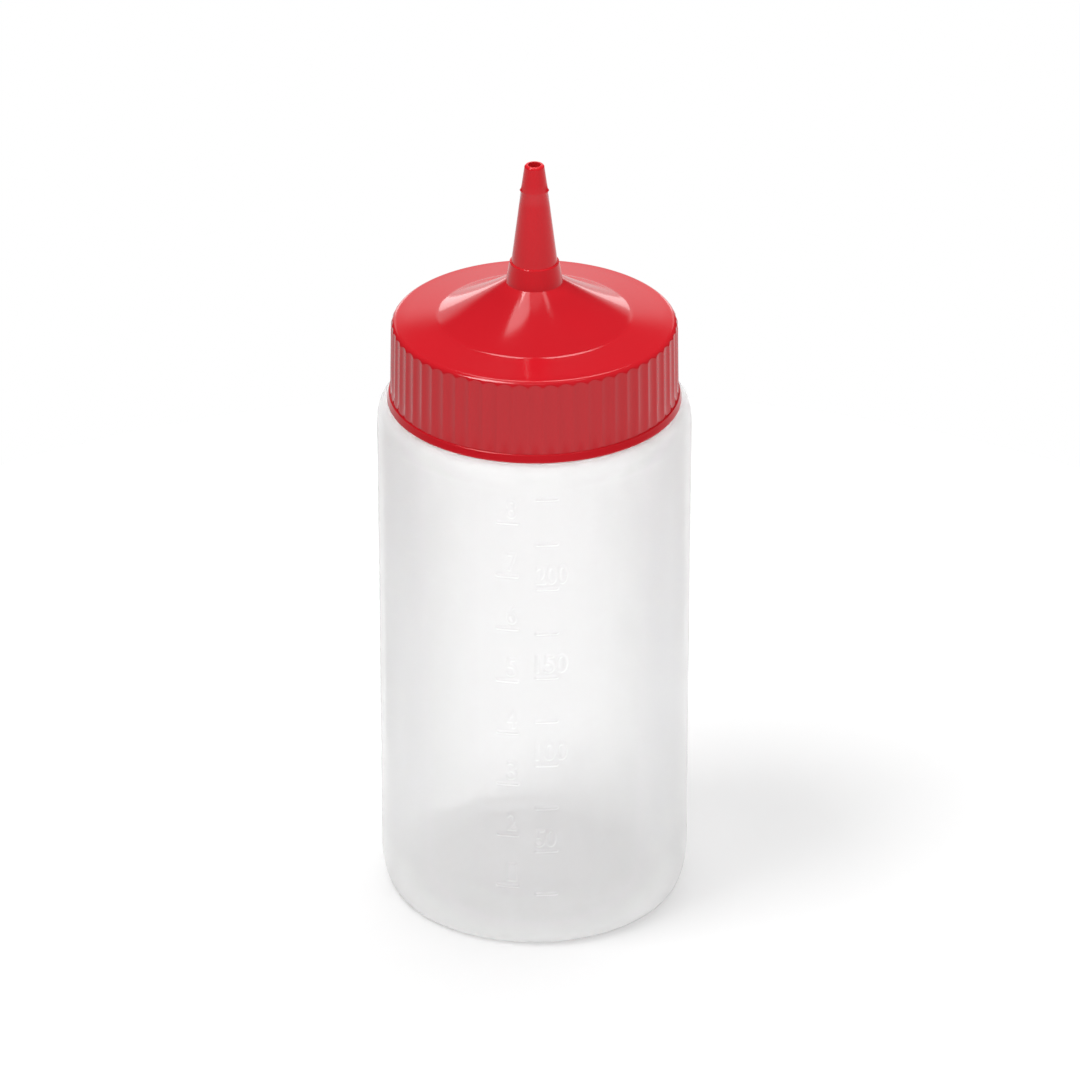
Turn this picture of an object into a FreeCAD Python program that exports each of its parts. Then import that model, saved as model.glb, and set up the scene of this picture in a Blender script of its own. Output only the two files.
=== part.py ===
import FreeCAD, Part
import math
import os

from FreeCAD import Vector

# A wide-mouth squeeze bottle: a blow-moulded bottle with a raised volume scale,
# and a screw cap whose skirt, cone and nozzle are one moulding.
# Millimetres, +Z up. The origin is the centre of the circle that it stands on,
# and the scale faces -Y.

# ---- Driving dimensions ----

# Bottle: a straight round body on a shallow foot, closed in by a low shoulder.
body_radius = 30.0
body_height = 104.2
body_wall = 1.1
base_wall = 1.6
push_up = 2.2
stand_width = 3.4
foot_inset = 2.4
foot_rise = 8.5
shoulder_inset = 2.2
shoulder_rise = 4.2

# Neck: a wide mouth, set in from the body.
neck_inset = 6.0
neck_height = 15.1
neck_wall = 1.4
neck_edge = 0.3

# Thread: the same section on the neck and in the cap.
thread_pitch = 4.0
thread_turns = 1.5
thread_depth = 1.0
thread_root = 1.7
thread_crest = 0.9
thread_bite = 0.25
thread_lead = 0.45

# Volume scale: raised marks in two columns, millilitres and fluid ounces.
scale_zero = 2.7
scale_spread = 7.15
mark_length = 4.1
mark_height = 0.7
mark_relief = 0.2
mark_bite = 0.3
mark_volumes = {"millilitres": 25000.0, "fluid_ounces": 29573.5}

# Cap skirt: a flange at its foot, whose face leans in, and finger flutes all round.
cap_gap = 0.3
cap_play = 0.3
skirt_wall = 2.15
skirt_draft = 0.25
flange_lip = 0.6
flange_height = 1.6
flange_edge = 0.2
flange_lean = 0.3
flute_count = 60
flute_depth = 0.3
flute_share = 0.9

# Cap top: a gently sloped rim, a trumpet cone, a collar and a nozzle.
top_wall = 1.5
rim_round = 0.95
rim_rise = 0.95
crease_inset = 4.1
cone_rise = 7.35
cone_sag = 0.3
cone_wall = 1.4
collar_step = 0.35
collar_taper = 0.7
collar_height = 4.1
collar_edge = 0.2
nozzle_radius = 4.35
nozzle_height = 19.8
nozzle_wall = 1.15
tip_bore = 1.2
tip_wall = 0.7
tip_round = 0.45
tip_length = 5.2
tip_ridge = 0.12
tip_ridge_height = 0.35

# ---- Worked-out sizes ----

neck_radius = body_radius - neck_inset
neck_bore = neck_radius - neck_wall
neck_top = body_height + neck_height

cap_bottom = body_height + cap_gap
cap_bore = neck_radius + thread_depth + cap_play
cap_thread_height = cap_bottom + thread_lead + thread_root / 2
neck_thread_height = cap_thread_height + thread_pitch / 2
skirt_foot_radius = cap_bore + skirt_wall
skirt_top_radius = skirt_foot_radius - skirt_draft
flange_radius = skirt_foot_radius + flange_lip
flange_top_radius = flange_radius - flange_lean
flange_top = cap_bottom + flange_height
rim_top = neck_top + top_wall
rim_radius = skirt_top_radius - rim_round
crease_radius = neck_bore - crease_inset
crease_height = rim_top + rim_rise
cone_top = crease_height + cone_rise
collar_top = cone_top + collar_height
collar_top_radius = nozzle_radius + collar_step
collar_radius = collar_top_radius + collar_taper
tip_radius = tip_bore + tip_wall
nozzle_top = collar_top + nozzle_height

# How far along its sides a cubic curve is pulled to draw a quarter of an ellipse.
quarter_pull = 0.5523


class Outline:
    """A closed outline in the XZ plane, drawn edge by edge, to be spun about Z."""

    def __init__(self, radius, height):
        self.start = self.here = Vector(radius, 0, height)
        self.edges = []

    def line(self, radius, height):
        there = Vector(radius, 0, height)
        self.edges.append(Part.LineSegment(self.here, there).toShape())
        self.here = there

    def turn(self, corner, end):
        """A quarter of an ellipse, inside the corner, to the end."""
        knee = Vector(corner[0], 0, corner[1])
        there = Vector(end[0], 0, end[1])
        curve = Part.BezierCurve()
        curve.setPoles([
            self.here,
            self.here + (knee - self.here) * quarter_pull,
            there + (knee - there) * quarter_pull,
            there,
        ])
        self.edges.append(curve.toShape())
        self.here = there

    def bow(self, end, sag):
        """An arc to the end, bowed by sag to the right of the way that it goes."""
        there = Vector(end[0], 0, end[1])
        way = there - self.here
        side = Vector(way.z, 0, -way.x).normalize()
        middle = (self.here + there) * 0.5 + side * sag
        self.edges.append(Part.Arc(self.here, middle, there).toShape())
        self.here = there

    def face(self):
        self.line(self.start.x, self.start.z)
        return Part.Face(Part.Wire(self.edges))

    def spin(self):
        return self.face().revolve(Vector(0, 0, 0), Vector(0, 0, 1), 360)


def thread(root_radius, crest_radius, height):
    """A screw thread about Z, from inside the wall at the root radius to the crest radius."""
    outward = math.copysign(1, crest_radius - root_radius)
    buried_radius = root_radius - outward * thread_bite
    flank_lean = (thread_root - thread_crest) / thread_depth
    buried_width = thread_root + thread_bite * flank_lean
    section = Part.makePolygon([
        Vector(buried_radius, 0, -buried_width / 2),
        Vector(crest_radius, 0, -thread_crest / 2),
        Vector(crest_radius, 0, thread_crest / 2),
        Vector(buried_radius, 0, buried_width / 2),
        Vector(buried_radius, 0, -buried_width / 2),
    ])
    path = Part.makeHelix(thread_pitch, thread_pitch * thread_turns, root_radius)
    solid = path.makePipeShell([section], True, True)
    solid.translate(Vector(0, 0, height))
    return solid


def scale_mark(azimuth, height):
    """One raised mark of the scale, centred on an azimuth counted from -Y to +X."""
    low = height - mark_height / 2
    high = height + mark_height / 2
    mark = Outline(body_radius - mark_bite, low)
    mark.line(body_radius, low)
    mark.bow((body_radius, high), mark_relief)
    mark.line(body_radius - mark_bite, high)
    length = math.degrees(mark_length / body_radius)
    solid = mark.face().revolve(Vector(0, 0, 0), Vector(0, 0, 1), length)
    solid.rotate(Vector(0, 0, 0), Vector(0, 0, 1), azimuth - 90 - length / 2)
    return solid


def scale_marks():
    """A mark for each full measure, as high as that volume fills the body."""
    fill_area = math.pi * (body_radius - body_wall) ** 2
    straight_top = body_height - shoulder_rise
    marks = []
    for name, side in (("millilitres", 1), ("fluid_ounces", -1)):
        step = mark_volumes[name] / fill_area
        for number in range(1, int((straight_top - scale_zero) / step) + 1):
            marks.append(scale_mark(side * scale_spread, scale_zero + number * step))
    return marks


def bottle():
    """The blow-moulded bottle: base, body, shoulder and neck in one wall."""
    inner_radius = body_radius - body_wall
    dome_radius = body_radius - foot_inset - stand_width
    wall = Outline(0, push_up)
    wall.bow((dome_radius, 0), -dome_sag(dome_radius, push_up))
    wall.line(body_radius - foot_inset, 0)
    wall.turn((body_radius, 0), (body_radius, foot_rise))
    wall.line(body_radius, body_height - shoulder_rise)
    wall.turn((body_radius, body_height), (body_radius - shoulder_inset, body_height))
    wall.line(neck_radius, body_height)
    wall.line(neck_radius, neck_top - neck_edge)
    wall.turn((neck_radius, neck_top), (neck_radius - neck_edge, neck_top))
    wall.line(neck_bore, neck_top)
    wall.line(neck_bore, body_height - body_wall)
    wall.line(inner_radius - shoulder_inset, body_height - body_wall)
    wall.turn((inner_radius, body_height - body_wall), (inner_radius, body_height - shoulder_rise))
    wall.line(inner_radius, foot_rise)
    wall.turn((inner_radius, base_wall), (inner_radius - foot_inset, base_wall))
    wall.line(dome_radius, base_wall)
    wall.bow((0, push_up + base_wall), dome_sag(dome_radius, push_up))
    neck_thread = thread(neck_radius, neck_radius + thread_depth, neck_thread_height)
    return wall.spin().fuse([neck_thread] + scale_marks())


def dome_sag(radius, rise):
    """How far an arc from a level top to a point a radius out and a rise down leaves its chord."""
    chord = math.hypot(radius, rise)
    half_angle = math.atan2(rise, radius)
    return chord / 2 * math.tan(half_angle / 2)


def cap():
    """The cap: fluted skirt, flange, sloped rim, cone, collar and nozzle in one moulding."""
    skin = Outline(cap_bore, cap_bottom)
    skin.line(skirt_foot_radius, cap_bottom)
    skin.line(skirt_foot_radius, flange_top)
    skin.line(skirt_top_radius, rim_top - rim_round)
    skin.turn((skirt_top_radius, rim_top), (rim_radius, rim_top))
    skin.line(crease_radius, crease_height)
    skin.bow((collar_radius, cone_top), -cone_sag)
    skin.line(collar_top_radius, collar_top - collar_edge)
    skin.turn((collar_top_radius, collar_top), (collar_top_radius - collar_edge, collar_top))
    skin.line(nozzle_radius, collar_top)
    draw_nozzle(skin)
    draw_underside(skin)
    shell = skin.spin().cut(flutes())
    cap_thread = thread(cap_bore, cap_bore - thread_depth, cap_thread_height)
    return shell.fuse([flange(), cap_thread])


def draw_nozzle(skin):
    """The nozzle's taper, with the fine ridge where the tip joins on, and its rounded tip."""
    slope = (nozzle_radius - tip_radius) / nozzle_height
    ridge = nozzle_top - tip_length
    ridge_radius = tip_radius + slope * tip_length
    skin.line(ridge_radius, ridge - tip_ridge_height / 2)
    skin.bow((ridge_radius, ridge + tip_ridge_height / 2), tip_ridge)
    skin.line(tip_radius, nozzle_top - tip_round)
    skin.turn((tip_radius, nozzle_top), (tip_radius - tip_round, nozzle_top))
    skin.line(tip_bore, nozzle_top)


def draw_underside(skin):
    """The hollow from the tip down the nozzle and the cone to the seat on the neck."""
    skin.line(tip_bore, nozzle_top - tip_length)
    skin.line(nozzle_radius - nozzle_wall, collar_top)
    skin.line(nozzle_radius - nozzle_wall, cone_top)
    skin.bow((crease_radius, crease_height - cone_wall), cone_sag)
    skin.line(neck_bore - cap_play, neck_top)
    skin.line(cap_bore, neck_top)


def flange():
    """The ring round the foot of the skirt, where the flutes stop. Its face leans in a little."""
    ring = Outline(cap_bore, cap_bottom)
    ring.line(flange_radius - flange_edge, cap_bottom)
    ring.turn((flange_radius, cap_bottom), (flange_radius, cap_bottom + flange_edge))
    ring.line(flange_top_radius, flange_top - flange_edge)
    ring.turn((flange_top_radius, flange_top), (flange_top_radius - flange_edge, flange_top))
    ring.line(cap_bore, flange_top)
    return ring.spin()


def flutes():
    """Cutters with a round floor, leaning with the skirt's draft, one for each finger flute."""
    half_pitch = skirt_foot_radius * math.sin(math.pi / flute_count)
    half_width = half_pitch * flute_share
    crown = skirt_foot_radius - math.sqrt(skirt_foot_radius ** 2 - half_width ** 2)
    chord_depth = flute_depth - crown
    floor_radius = (half_width ** 2 + chord_depth ** 2) / (2 * chord_depth)
    floor = skirt_foot_radius - flute_depth
    side = (half_width + half_pitch) / 2
    side_start = floor + floor_radius - math.sqrt(floor_radius ** 2 - side ** 2)
    outside = skirt_foot_radius + flange_lip
    corners = [
        Vector(side_start, side, cap_bottom),
        Vector(outside, side, cap_bottom),
        Vector(outside, -side, cap_bottom),
        Vector(side_start, -side, cap_bottom),
    ]
    edges = [Part.LineSegment(a, b).toShape() for a, b in zip(corners, corners[1:])]
    edges.append(Part.Arc(corners[3], Vector(floor, 0, cap_bottom), corners[0]).toShape())
    lean = skirt_draft / (rim_top - rim_round - flange_top)
    length = rim_top + rim_rise - cap_bottom
    cutter = Part.Face(Part.Wire(edges)).extrude(Vector(-lean * length, 0, length))
    cutters = []
    for number in range(flute_count):
        turned = cutter.copy()
        turned.rotate(Vector(0, 0, 0), Vector(0, 0, 1), number * 360 / flute_count)
        cutters.append(turned)
    return cutters


os.makedirs("parts", exist_ok=True)
for name, shape in (("bottle", bottle()), ("cap", cap())):
    shape.exportStep("parts/" + name + ".step")
    print(name, "valid", shape.isValid(), "solids", len(shape.Solids), "volume", round(shape.Volume))
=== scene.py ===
import math

import bmesh
import bpy
from mathutils import Matrix, Vector, noise
from mathutils.bvhtree import BVHTree


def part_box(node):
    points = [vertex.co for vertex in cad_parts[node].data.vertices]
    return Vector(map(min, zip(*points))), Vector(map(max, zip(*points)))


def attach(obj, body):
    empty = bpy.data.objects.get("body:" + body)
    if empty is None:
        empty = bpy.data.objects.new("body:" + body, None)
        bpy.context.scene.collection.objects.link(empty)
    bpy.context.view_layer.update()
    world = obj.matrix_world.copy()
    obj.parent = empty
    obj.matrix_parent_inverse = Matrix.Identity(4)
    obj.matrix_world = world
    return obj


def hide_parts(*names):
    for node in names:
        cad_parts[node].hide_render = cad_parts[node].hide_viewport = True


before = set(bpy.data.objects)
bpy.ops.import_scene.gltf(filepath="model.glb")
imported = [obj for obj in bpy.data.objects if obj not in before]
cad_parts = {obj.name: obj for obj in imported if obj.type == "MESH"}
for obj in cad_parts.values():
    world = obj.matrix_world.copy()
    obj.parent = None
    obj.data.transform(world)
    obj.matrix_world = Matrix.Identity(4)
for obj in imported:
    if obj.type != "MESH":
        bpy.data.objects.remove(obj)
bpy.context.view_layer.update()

mm = 0.001
slack = 0.01 * mm


# ---- Bottle ----
# One blow-moulded wall of milky polyethylene: a shallow foot round a pushed-up base, a straight
# body, a low shoulder and a wide neck. Its volume scale is raised on the front, and a faint seam
# up both sides shows where the mould's halves met.

bottle_low, bottle_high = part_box("bottle")
cap_low, cap_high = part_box("cap")
body_radius = bottle_high.x
body_wall = 1.1 * mm
body_height = cap_low.z - 0.3 * mm
base_wall = 1.6 * mm
push_up = 2.2 * mm
stand_width = 3.4 * mm
foot_inset = 2.4 * mm
foot_rise = 8.5 * mm
shoulder_inset = 2.2 * mm
shoulder_rise = 4.2 * mm
neck_radius = body_radius - 6 * mm
neck_bore = neck_radius - 1.4 * mm
neck_top = bottle_high.z
neck_edge = 0.3 * mm
seam_width = 0.6 * mm
seam_height = 0.06 * mm
wave_depth = 0.10 * mm
wave_length = 26 * mm
wave_fade = 10 * mm


class Outline:
    """The section of a turned shape, drawn stretch by stretch in the XZ plane."""

    def __init__(self, radius, height):
        self.points = [Vector((radius, 0, height))]

    def line(self, radius, height, steps=1):
        start, end = self.points[-1], Vector((radius, 0, height))
        self.points += [start.lerp(end, step / steps) for step in range(1, steps + 1)]

    def turn(self, corner, end, steps=8):
        """A quarter of an ellipse that leaves towards the corner and comes in from it."""
        start = self.points[-1]
        corner, end = Vector((corner[0], 0, corner[1])), Vector((end[0], 0, end[1]))
        for step in range(1, steps + 1):
            angle = math.pi / 2 * step / steps
            out, over = (corner - start) * math.sin(angle), (end - corner) * (1 - math.cos(angle))
            self.points.append(start + out + over)

    def soften(self, corner, towards, reach, steps=4):
        """A line almost to a corner, and a small rounding over it towards the next point."""
        corner, towards = Vector((corner[0], 0, corner[1])), Vector((towards[0], 0, towards[1]))
        before = corner + (self.points[-1] - corner).normalized() * reach
        after = corner + (towards - corner).normalized() * reach
        self.line(before.x, before.z)
        self.turn((corner.x, corner.z), (after.x, after.z), steps)

    def bow(self, end, sag, steps=12):
        """A shallow arc to the end, bowed by sag to the right of the way that it goes."""
        start, end = self.points[-1], Vector((end[0], 0, end[1]))
        way = end - start
        side = Vector((way.z, 0, -way.x)).normalized() * sag
        for step in range(1, steps + 1):
            share = step / steps
            self.points.append(start + way * share + side * 4 * share * (1 - share))

    def spin(self, sectors):
        """Turns the section about Z, through sectors of (angle, steps) that make a full turn."""
        mesh = bmesh.new()
        points = [mesh.verts.new(point) for point in self.points]
        geometry = points + [mesh.edges.new(pair) for pair in zip(points, points[1:])]
        for angle, steps in sectors:
            turned = bmesh.ops.spin(
                mesh, geom=geometry, cent=(0, 0, 0), axis=(0, 0, 1), dvec=(0, 0, 0),
                angle=angle, steps=steps, use_merge=len(sectors) == 1, use_duplicate=False,
            )
            geometry = turned["geom_last"]
        bmesh.ops.remove_doubles(mesh, verts=mesh.verts[:], dist=slack / 10)
        bmesh.ops.recalc_face_normals(mesh, faces=mesh.faces[:])
        return mesh


def finished(mesh, name, sharp_angle=40):
    """Makes the mesh an object at the origin, smooth but for the edges sharper than the angle."""
    for edge in mesh.edges:
        edge.smooth = edge.calc_face_angle(0) < math.radians(sharp_angle)
    for face in mesh.faces:
        face.smooth = True
    data = bpy.data.meshes.new(name)
    mesh.to_mesh(data)
    mesh.free()
    piece = bpy.data.objects.new(name, data)
    bpy.context.collection.objects.link(piece)
    return piece


dome_radius = body_radius - foot_inset - stand_width
inner_radius = body_radius - body_wall
dome_bow = push_up / 4
wall = Outline(0, push_up)
wall.bow((dome_radius, 0), -dome_bow, 16)
wall.line(body_radius - foot_inset, 0, 2)
wall.turn((body_radius, 0), (body_radius, foot_rise), 16)
wall.line(body_radius, body_height - shoulder_rise, 40)
wall.turn((body_radius, body_height), (body_radius - shoulder_inset, body_height), 14)
wall.line(neck_radius, body_height, 2)
wall.line(neck_radius, neck_top - neck_edge, 4)
wall.turn((neck_radius, neck_top), (neck_radius - neck_edge, neck_top), 4)
wall.line(neck_bore, neck_top)
wall.line(neck_bore, body_height - body_wall, 4)
wall.line(inner_radius - shoulder_inset, body_height - body_wall, 2)
wall.turn((inner_radius, body_height - body_wall), (inner_radius, body_height - shoulder_rise), 8)
wall.line(inner_radius, foot_rise, 12)
wall.turn((inner_radius, base_wall), (inner_radius - foot_inset, base_wall), 8)
wall.line(dome_radius, base_wall, 2)
wall.bow((0, push_up + base_wall), dome_bow, 12)

seam_angle = 2 * seam_width / body_radius
scale_angle = math.radians(33)
side_angle = (math.pi - seam_angle - scale_angle) / 2
bottle_mesh = wall.spin([
    (seam_angle, 8), (math.pi - seam_angle, 64), (seam_angle, 8),
    (side_angle, 24), (scale_angle, 8), (side_angle, 24),
])
half_seam = Matrix.Rotation(-seam_angle / 2, 3, "Z")
bmesh.ops.rotate(bottle_mesh, verts=bottle_mesh.verts[:], matrix=half_seam)


# The scale is fluid ounces on the left and millilitres on the right, each mark as high as that
# volume fills the body. Every ounce and every second millilitre mark has its number above it.

fluid_ounce = 29.5735e-6
millilitre = 1e-6
scale_zero = 2.7 * mm
scale_spread = math.radians(7.15)
mark_length = 4.1 * mm
mark_height = 0.7 * mm
mark_relief = 0.13 * mm
digit_height = 3.8 * mm
digit_pitch = 2.1 * mm
digit_space = 0.4 * mm
digit_lift = 1.1 * mm
digit_relief = 0.08 * mm
digit_flank = 0.22 * mm
fill_area = math.pi * inner_radius ** 2
straight_top = body_height - shoulder_rise


def flat_numbers(text, left, base):
    """The outline of a number's digits, flat in the XY plane, as one triangulated mesh."""
    curve = bpy.data.curves.new("digits", "FONT")
    curve.body = text
    holder = bpy.data.objects.new("digits", curve)
    flat = bmesh.new()
    flat.from_mesh(bpy.data.meshes.new_from_object(holder))
    low = Vector([min(vert.co[axis] for vert in flat.verts) for axis in range(3)])
    high = Vector([max(vert.co[axis] for vert in flat.verts) for axis in range(3)])
    span = Vector((digit_pitch * len(text) - digit_space, digit_height))
    for vert in flat.verts:
        vert.co.x = left + (vert.co.x - low.x) / (high.x - low.x) * span.x
        vert.co.y = base + (vert.co.y - low.y) / (high.y - low.y) * span.y
    bmesh.ops.triangulate(flat, faces=flat.faces[:])
    bpy.data.objects.remove(holder)
    return flat


marks = []
numbers = []
for side, unit, each, every in ((1, millilitre, 25, 2), (-1, fluid_ounce, 1, 1)):
    step = unit * each / fill_area
    middle = side * scale_spread * body_radius
    for count in range(1, int((straight_top - scale_zero) / step) + 1):
        height = scale_zero + count * step
        marks.append((middle, height))
        text = str(count * each)
        base = height + digit_lift
        if count % every == 0 and base + digit_height < straight_top:
            left = middle - mark_length / 2
            if side < 0:
                left = middle + mark_length / 2 - digit_pitch * len(text)
            digits = BVHTree.FromBMesh(flat_numbers(text, left, base))
            numbers.append((left, base, len(text), digits))


def relief(along, height):
    """How far the scale stands proud of the wall at a place on it."""
    proud = 0
    for middle, level in marks:
        over = abs(height - level) / (mark_height / 2)
        past = (abs(along - middle) - mark_length / 2) / digit_flank
        if over < 1 and past < 1:
            proud = max(proud, mark_relief * math.sqrt(1 - over ** 2) * (1 - max(0, past)))
    for left, base, length, digits in numbers:
        if not base - digit_flank < height < base + digit_height + digit_flank:
            continue
        if not left - digit_flank < along < left + length * digit_pitch + digit_flank:
            continue
        distance = digits.find_nearest((along, height, 0), digit_flank)[3]
        if distance is not None:
            share = 1 - distance / digit_flank
            proud = max(proud, digit_relief * share * share * (3 - 2 * share))
    return proud


def on_scale(vert):
    """Whether a vertex is on the outer wall, in the panel that the scale takes."""
    azimuth = math.atan2(vert.co.x, -vert.co.y)
    outside = math.hypot(vert.co.x, vert.co.y) > body_radius - slack
    beside = abs(azimuth) < (scale_angle / 2) + slack / body_radius
    return outside and beside and foot_rise - slack < vert.co.z < straight_top + slack


panel = [face for face in bottle_mesh.faces if all(on_scale(vert) for vert in face.verts)]
panel_edges = list({edge for face in panel for edge in face.edges})
bmesh.ops.subdivide_edges(bottle_mesh, edges=panel_edges, cuts=10, use_grid_fill=True)
for vert in bottle_mesh.verts:
    across = Vector((vert.co.x, vert.co.y, 0))
    outside = across.length > body_radius - body_wall / 2
    if not outside or not foot_rise < vert.co.z < straight_top:
        continue
    across.normalize()
    wave = noise.noise(vert.co / wave_length) * 0.5 + 0.5
    ends = min(1, (vert.co.z - foot_rise) / wave_fade, (straight_top - vert.co.z) / wave_fade)
    proud = -wave_depth * wave * ends
    azimuth = math.atan2(across.x, -across.y)
    if abs(azimuth) < scale_angle / 2:
        proud += relief(azimuth * body_radius, vert.co.z)
    if abs(vert.co.y) < seam_width / 2:
        proud += seam_height * (math.cos(math.pi * vert.co.y / seam_width) ** 2 - 1)
    vert.co.x, vert.co.y = across.x * (body_radius + proud), across.y * (body_radius + proud)
bottle = finished(bottle_mesh, "bottle_body")


class Wire:
    """An output of a node in a tree. Arithmetic on it adds Math nodes and gives their output."""

    def __init__(self, tree, socket):
        self.tree, self.socket = tree, socket

    def reckon(self, operation, first, second):
        return self.tree.add("ShaderNodeMath", {"operation": operation}, {0: first, 1: second})

    def __add__(self, other):
        return self.reckon("ADD", self, other)

    def __sub__(self, other):
        return self.reckon("SUBTRACT", self, other)

    def __rsub__(self, other):
        return self.reckon("SUBTRACT", other, self)

    def __mul__(self, other):
        return self.reckon("MULTIPLY", self, other)

    __radd__ = __add__
    __rmul__ = __mul__


class Tree:
    """A node tree that is built by adding nodes, each from its type, settings and inputs."""

    def __init__(self, owner):
        owner.use_nodes = True
        self.nodes = owner.node_tree.nodes
        self.links = owner.node_tree.links
        self.nodes.clear()

    def add(self, kind, settings=None, inputs=None, output=0):
        node = self.nodes.new(kind)
        for name, value in (settings or {}).items():
            setattr(node, name, value)
        for name, value in (inputs or {}).items():
            if isinstance(value, Wire):
                self.links.new(value.socket, node.inputs[name])
            else:
                node.inputs[name].default_value = value
        return Wire(self, node.outputs[output]) if node.outputs else None

    def noise(self, size, detail=2.0, roughness=0.5, stretch=(1, 1, 1)):
        """Noise from 0 to 1 in object space, with lumps of that size in metres."""
        place = self.add("ShaderNodeTexCoord", output="Object")
        placed = self.add("ShaderNodeMapping", {}, {"Vector": place, "Scale": stretch})
        settings = {"noise_dimensions": "3D"}
        inputs = {"Vector": placed, "Scale": 1 / size, "Detail": detail, "Roughness": roughness}
        return self.add("ShaderNodeTexNoise", settings, inputs)

    def smooth(self, value, start, end, first=0, last=1):
        """A soft step from the first value to the last, while the input goes from start to end."""
        settings = {"interpolation_type": "SMOOTHSTEP"}
        ends = {"From Min": start, "From Max": end, "To Min": first, "To Max": last}
        return self.add("ShaderNodeMapRange", settings, {"Value": value, **ends})

    def blend(self, share, first, second):
        """A share of the way from one colour to another."""
        first, second = (hue if isinstance(hue, Wire) else (*hue, 1) for hue in (first, second))
        inputs = {"Factor": share, "A": first, "B": second}
        return self.add("ShaderNodeMix", {"data_type": "RGBA"}, inputs, 2)


# Milky polyethylene lets light through its wall and spreads it, and looks milkier where the eye
# meets it aslant and at the thick foot. Its skin is satin, with the fine orange peel of a blown
# surface, and thick and thin patches of the wall make it cloudy.

bottle_white = (0.975, 0.976, 0.975)
bottle_shade = (0.955, 0.957, 0.956)
wall_milk = 0.13
slant_milk = 0.22
foot_milk = 0.12
patch_milk = 0.03
foot_milk_low = 2 * mm
foot_milk_high = 15 * mm

bottle_material = bpy.data.materials.new("milky_polyethylene")
milky = Tree(bottle_material)
patches = milky.noise(34 * mm, 2.0, 0.45, (1, 1, 0.4))
peel = milky.noise(0.9 * mm, 2.0, 0.5)
cloud = milky.noise(7 * mm, 3.0, 0.55)
place = milky.add("ShaderNodeTexCoord", output="Object")
level = milky.add("ShaderNodeSeparateXYZ", {}, {"Vector": place}, 2)
low = milky.smooth(level, foot_milk_low, foot_milk_high, 1, 0)
facing = milky.add("ShaderNodeLayerWeight", {}, {"Blend": 0.5}, 1)
aslant = milky.smooth(facing, 0.1, 0.6)
white = milky.blend(patches, bottle_white, bottle_shade)
surface = milky.add(
    "ShaderNodeBump", {}, {"Strength": 0.25, "Distance": 0.04 * mm, "Height": peel * 0.6 + cloud},
)
skin = milky.add(
    "ShaderNodeBsdfPrincipled", {"subsurface_method": "RANDOM_WALK"},
    {
        "Base Color": white,
        "Roughness": 0.34 + 0.1 * cloud,
        "Normal": surface,
        "IOR": 1.5,
        "Subsurface Weight": 1.0,
        "Subsurface Radius": (1.0, 0.99, 0.97),
        "Subsurface Scale": 4 * mm,
        "Alpha": wall_milk + slant_milk * aslant + foot_milk * low + patch_milk * patches,
    },
)
milky.add("ShaderNodeOutputMaterial", {}, {"Surface": skin})
bottle.data.materials.append(bottle_material)
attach(bottle, "root")
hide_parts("bottle")


# ---- Cap ----
# One injection-moulded piece of glossy red polyethylene. Its skirt has a flange at the foot and
# sixty finger flutes that run out in arches through the rounded rim. The top slopes up to a
# trumpet cone, a short collar and the long nozzle.

cap_bottom = cap_low.z
cap_bore = neck_radius + 1.3 * mm
skirt_foot_radius = cap_bore + 2.15 * mm
skirt_draft = 0.25 * mm
skirt_top_radius = skirt_foot_radius - skirt_draft
flange_radius = cap_high.x
flange_top = cap_bottom + 1.6 * mm
flange_top_radius = flange_radius - 0.3 * mm
flange_edge = 0.2 * mm
flute_count = 60
flute_depth = 0.3 * mm
flute_share = 0.9
ridge_softness = 0.03 * mm
rim_top = neck_top + 1.5 * mm
rim_round = 1.3 * mm
rim_radius = skirt_top_radius - rim_round
crease_radius = neck_bore - 4.1 * mm
top_rise = 0.95 * mm
top_slope = top_rise / (rim_radius - crease_radius)
crease_height = rim_top + top_rise
crease_soft = 0.3 * mm
crease_run = 2 * mm
cone_foot_slope = 0.37
cone_top = crease_height + 7.35 * mm
cone_sag = 0.3 * mm
cone_wall = 1.4 * mm
nozzle_radius = 4.35 * mm
nozzle_wall = 1.15 * mm
nozzle_top = cap_high.z
collar_top = nozzle_top - 19.8 * mm
collar_top_radius = nozzle_radius + 0.35 * mm
collar_radius = collar_top_radius + 0.7 * mm
collar_edge = 0.2 * mm
tip_bore = 1.2 * mm
tip_radius = tip_bore + 0.7 * mm
tip_round = 0.45 * mm
tip_length = 5.2 * mm
ridge_height = 0.35 * mm
ridge_relief = 0.22 * mm
ridge_least = 0.05
ridge_narrowness = 12

tip_foot = nozzle_top - tip_length
tip_foot_radius = tip_radius + (nozzle_radius - tip_radius) * tip_length / (nozzle_top - collar_top)
skirt = Outline(cap_bore, cap_bottom)
skirt.line(flange_radius - flange_edge, cap_bottom)
skirt.turn((flange_radius, cap_bottom), (flange_radius, cap_bottom + flange_edge), 4)
skirt.line(flange_top_radius, flange_top - flange_edge, 6)
skirt.turn((flange_top_radius, flange_top), (flange_top_radius - flange_edge, flange_top), 5)
skirt.line(skirt_foot_radius, flange_top)
skirt.line(skirt_top_radius, rim_top - rim_round, 6)
skirt.turn((skirt_top_radius, rim_top), (rim_radius, rim_top), 16)
skirt.line(crease_radius + crease_run, crease_height - top_slope * crease_run, 3)
up_cone = (crease_radius - mm, crease_height + cone_foot_slope * mm)
skirt.soften((crease_radius, crease_height), up_cone, crease_soft, 6)
skirt.bow((collar_radius, cone_top), -cone_sag, 20)
skirt.line(collar_top_radius, collar_top - collar_edge, 3)
skirt.turn((collar_top_radius, collar_top), (collar_top_radius - collar_edge, collar_top), 5)
skirt.line(nozzle_radius, collar_top)
skirt.line(tip_foot_radius, tip_foot - ridge_height / 2, 6)
skirt.line(tip_foot_radius, tip_foot, 2)
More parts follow.
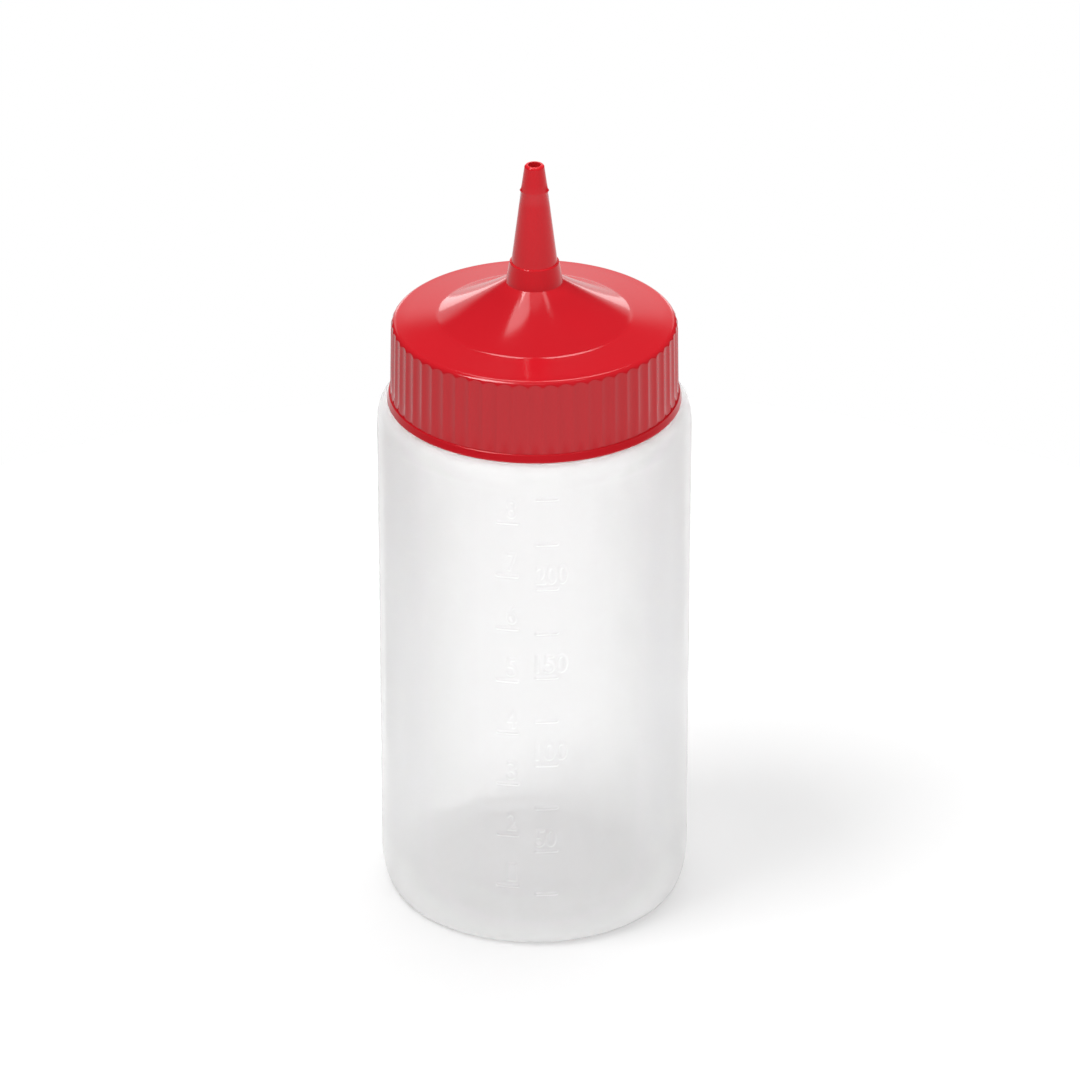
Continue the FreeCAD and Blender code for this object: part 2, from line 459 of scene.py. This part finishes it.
skirt.line(tip_foot_radius, tip_foot + ridge_height / 2, 2)
skirt.line(tip_radius, nozzle_top - tip_round, 3)
skirt.turn((tip_radius, nozzle_top), (tip_radius - tip_round, nozzle_top), 6)
skirt.line(tip_bore, nozzle_top)
skirt.line(tip_bore, tip_foot, 2)
skirt.line(nozzle_radius - nozzle_wall, collar_top, 4)
skirt.line(nozzle_radius - nozzle_wall, cone_top)
skirt.bow((crease_radius, crease_height - cone_wall), cone_sag, 8)
skirt.line(neck_bore - 0.3 * mm, neck_top)
skirt.line(cap_bore, neck_top)
skirt.line(cap_bore, cap_bottom, 2)


# Round the nozzle, near its tip, runs a thin ridge that stands out most at the mould's parting
# line. The flutes are scooped from the skirt, and the ridges between them are softened a little.

steps_per_flute = 10
cap_mesh = skirt.spin([(2 * math.pi, flute_count * steps_per_flute)])
half_width = skirt_foot_radius * math.sin(math.pi / flute_count) * flute_share
groove_radius = half_width ** 2 / (2 * (flute_depth - half_width ** 2 / (2 * skirt_foot_radius)))
for vert in cap_mesh.verts:
    radius = math.hypot(vert.co.x, vert.co.y)
    if abs(vert.co.z - tip_foot) < ridge_height / 2 and radius > tip_foot_radius - slack:
        ridge = math.cos(math.pi * (vert.co.z - tip_foot) / ridge_height)
        parting = abs(vert.co.x / radius) ** ridge_narrowness
        proud = ridge_relief * ridge * (ridge_least + (1 - ridge_least) * parting)
        vert.co.x *= 1 + proud / radius
        vert.co.y *= 1 + proud / radius
    if vert.co.z < flange_top or radius < rim_radius - flute_depth:
        continue
    if vert.co.z < flange_top + slack and radius > skirt_foot_radius + slack:
        continue
    turn = math.atan2(vert.co.y, vert.co.x) / (2 * math.pi) * flute_count
    across = (turn - math.floor(turn) - 0.5) * 2 * math.pi / flute_count * skirt_foot_radius
    lean = skirt_draft * (vert.co.z - flange_top) / (rim_top - rim_round - flange_top)
    groove = skirt_foot_radius - lean - flute_depth + across ** 2 / (2 * groove_radius)
    overlap = max(0, ridge_softness - abs(radius - groove)) / ridge_softness
    cut = min(radius, groove) - overlap ** 2 * ridge_softness / 4
    vert.co.x *= cut / radius
    vert.co.y *= cut / radius
cap = finished(cap_mesh, "screw_cap")

# Glossy red with faint flow clouds and a fine grain. The nozzle and collar carry a painted glow:
# the same red painted lighter, standing in for light that would come through the thin nozzle wall.

cap_red = (0.60, 0.0105, 0.019)
cap_deep_red = (0.56, 0.0090, 0.016)
nozzle_painted_glow_red = (0.71, 0.0150, 0.024)
painted_glow_fade = 2 * mm

cap_material = bpy.data.materials.new("glossy_red_polyethylene")
glossy = Tree(cap_material)
flow = glossy.noise(9 * mm, 3.0, 0.5, (1, 1, 0.35))
grain = glossy.noise(0.35 * mm, 2.0, 0.5)
swell = glossy.noise(6 * mm, 1.0, 0.4)
red = glossy.blend(flow, cap_red, cap_deep_red)
cap_place = glossy.add("ShaderNodeTexCoord", output="Object")
cap_level = glossy.add("ShaderNodeSeparateXYZ", {}, {"Vector": cap_place}, 2)
# Painted glow: the lighter nozzle red fades in across the foot of the collar.
thin = glossy.smooth(cap_level, cone_top - painted_glow_fade, cone_top + painted_glow_fade)
lit_red = glossy.blend(thin, red, nozzle_painted_glow_red)
cap_surface = glossy.add(
    "ShaderNodeBump", {}, {"Strength": 0.2, "Distance": 0.03 * mm, "Height": grain * 0.3 + swell},
)
cap_skin = glossy.add(
    "ShaderNodeBsdfPrincipled", {},
    {
        "Base Color": lit_red,
        "Roughness": 0.08 + 0.06 * flow,
        "Normal": cap_surface,
        "IOR": 1.51,
    },
)
glossy.add("ShaderNodeOutputMaterial", {}, {"Surface": cap_skin})
cap.data.materials.append(cap_material)
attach(cap, "root")
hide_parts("cap")


# ---- Floor ----
# A plain white round table top. It shows as white, and keeps the bottle's soft shadow.

floor_radius = 0.21
floor_white = (0.84, 0.84, 0.84)
floor_glow = 0.02

floor_mesh = bmesh.new()
bmesh.ops.create_circle(floor_mesh, cap_ends=True, segments=96, radius=floor_radius)
floor = finished(floor_mesh, "floor")
floor_material = bpy.data.materials.new("white_table")
table = Tree(floor_material)
paper = table.add("ShaderNodeBsdfDiffuse", {}, {"Color": (*floor_white, 1)})
glow = table.add("ShaderNodeEmission", {}, {"Color": (1, 1, 1, 1), "Strength": floor_glow})
seen = table.add("ShaderNodeLightPath", output="Is Camera Ray")
mirrored = table.add("ShaderNodeLightPath", output="Is Glossy Ray")
through = table.add("ShaderNodeLightPath", output="Is Transmission Ray")
lit = table.add("ShaderNodeAddShader", {}, {0: paper, 1: glow})
shown = table.add("ShaderNodeMixShader", {}, {0: seen + mirrored + through, 1: paper, 2: lit})
table.add("ShaderNodeOutputMaterial", {}, {"Surface": shown})
floor.data.materials.append(floor_material)


# ---- Studio ----
# A white room, brighter behind than in front, lights everything evenly, and a soft lamp at the
# left front throws the shadow. Gloss shows a white panel behind, the floor and otherwise a dark
# room, with soft boxes behind and above that light nothing else.

back_light = 1.50
front_light_share = 0.65
side_dimming = 1.0
right_gain = 0.28
panel_light = 0.88
panel_left = -0.46
panel_right = 0.31
panel_top = 0.43
panel_edge = 0.05
front_floor_light = 0.8
side_floor_light = 0.75
back_floor_light = 0.8
front_light = 0.04

world = bpy.data.worlds.new("studio")
bpy.context.scene.world = world
room = Tree(world)
direction = room.add("ShaderNodeTexCoord", output="Generated")
sideways, backward, upward = (
    room.add("ShaderNodeSeparateXYZ", {}, {"Vector": direction}, axis) for axis in range(3)
)
beside = room.smooth(sideways * sideways, 0.32, 0.62)
beyond = room.smooth(backward, 0.4, 0.7)
low_light = front_floor_light + (side_floor_light - front_floor_light) * beside
low_light = low_light * (1 - beyond) + back_floor_light * beyond
high = room.smooth(upward, -0.35, -0.05)
around = low_light * (1 - high) + front_light * high
behind = room.smooth(backward, -0.3, 0.3)
right_of_left = room.smooth(sideways, panel_left - panel_edge, panel_left + panel_edge)
left_of_right = room.smooth(sideways, panel_right - panel_edge, panel_right + panel_edge, 1, 0)
below_top = room.smooth(upward, panel_top - panel_edge, panel_top + panel_edge, 1, 0)
panel = behind * right_of_left * left_of_right * below_top
gloss_level = around * (1 - panel) + panel_light * panel
camera_sees = room.add("ShaderNodeLightPath", output="Is Camera Ray")
gloss_sees = room.add("ShaderNodeLightPath", output="Is Glossy Ray")
clear_sees = room.add("ShaderNodeLightPath", output="Is Transmission Ray")
plain = 1 - camera_sees - gloss_sees - clear_sees
depth = front_light_share + (1 - front_light_share) * behind
sides = 1 - side_dimming * sideways * sideways + right_gain * sideways
room_light = back_light * depth * sides
level = camera_sees + clear_sees + gloss_sees * gloss_level + plain * room_light
backdrop = room.add("ShaderNodeBackground", {}, {"Color": (1, 1, 1, 1), "Strength": level})
room.add("ShaderNodeOutputWorld", {}, {"Surface": backdrop})

middle = (0, 0, 0.12)
ceiling = 1.04


def soft_box(name, place, aim, size, radiance, gloss_only=False):
    """A flat soft lamp that faces a point, as bright to look at as its radiance says."""
    lamp = bpy.data.lights.new(name, "AREA")
    lamp.shape = "RECTANGLE"
    lamp.size, lamp.size_y = size
    lamp.energy = radiance * math.pi * size[0] * size[1]
    box = bpy.data.objects.new(name, lamp)
    bpy.context.collection.objects.link(box)
    box.location = place
    box.rotation_euler = (Vector(aim) - Vector(place)).to_track_quat("-Z", "Y").to_euler()
    box.visible_camera = False
    box.visible_diffuse = not gloss_only
    box.visible_transmission = not gloss_only
    return box


def toward(azimuth, elevation, distance):
    """A place that far from the middle; azimuth 0 is straight behind, and grows to the right."""
    turn, rise = math.radians(azimuth), math.radians(elevation)
    across = distance * math.cos(rise)
    return (across * math.sin(turn), across * math.cos(turn), middle[2] + distance * math.sin(rise))


soft_box("key_lamp", toward(-117, 64, 1.3), middle, (0.5, 0.5), 10.0)
soft_box("left_box", toward(-18.5, 7, 1.3), middle, (0.20, 0.32), 1.6, True)
soft_box("right_box", toward(12.5, 7, 1.3), middle, (0.16, 0.30), 1.35, True)
soft_box("back_box", toward(0, 53, 1.3), middle, (0.5, 0.32), 4.0, True)
for name, centre, size, lean, radiance in (
    ("top_left_box", (-0.235, 0.055), (0.30, 0.14), -42, 3.3),
    ("top_box", (0.07, -0.045), (0.32, 0.09), 0, 0.9),
    ("top_right_box", (0.29, 0.015), (0.10, 0.14), 0, 2.8),
    ("top_front_box", (-0.06, -0.49), (0.34, 0.06), 0, 3.0),
):
    box = soft_box(name, (*centre, ceiling), (*centre, 0), size, radiance, True)
    box.rotation_euler = (0, 0, math.radians(lean))


# ---- Camera ----
# A long lens from a little above, aimed at the bottle's axis.

view_azimuth = math.radians(2.65)
view_pitch = math.radians(27.91)
view_distance = 1.2972
view_height = 73.6 * mm

camera_data = bpy.data.cameras.new("camera")
camera_data.lens = 224.69
camera_data.sensor_width = 36
camera_data.shift_x = 0.0052
camera = bpy.data.objects.new("camera", camera_data)
bpy.context.collection.objects.link(camera)
back = Vector((
    math.sin(view_azimuth) * math.cos(view_pitch),
    -math.cos(view_azimuth) * math.cos(view_pitch),
    math.sin(view_pitch),
))
camera.location = Vector((0, 0, view_height)) + back * view_distance
camera.rotation_euler = (-back).to_track_quat("-Z", "Y").to_euler()
bpy.context.scene.camera = camera
bpy.context.scene.view_settings.view_transform = "Standard"
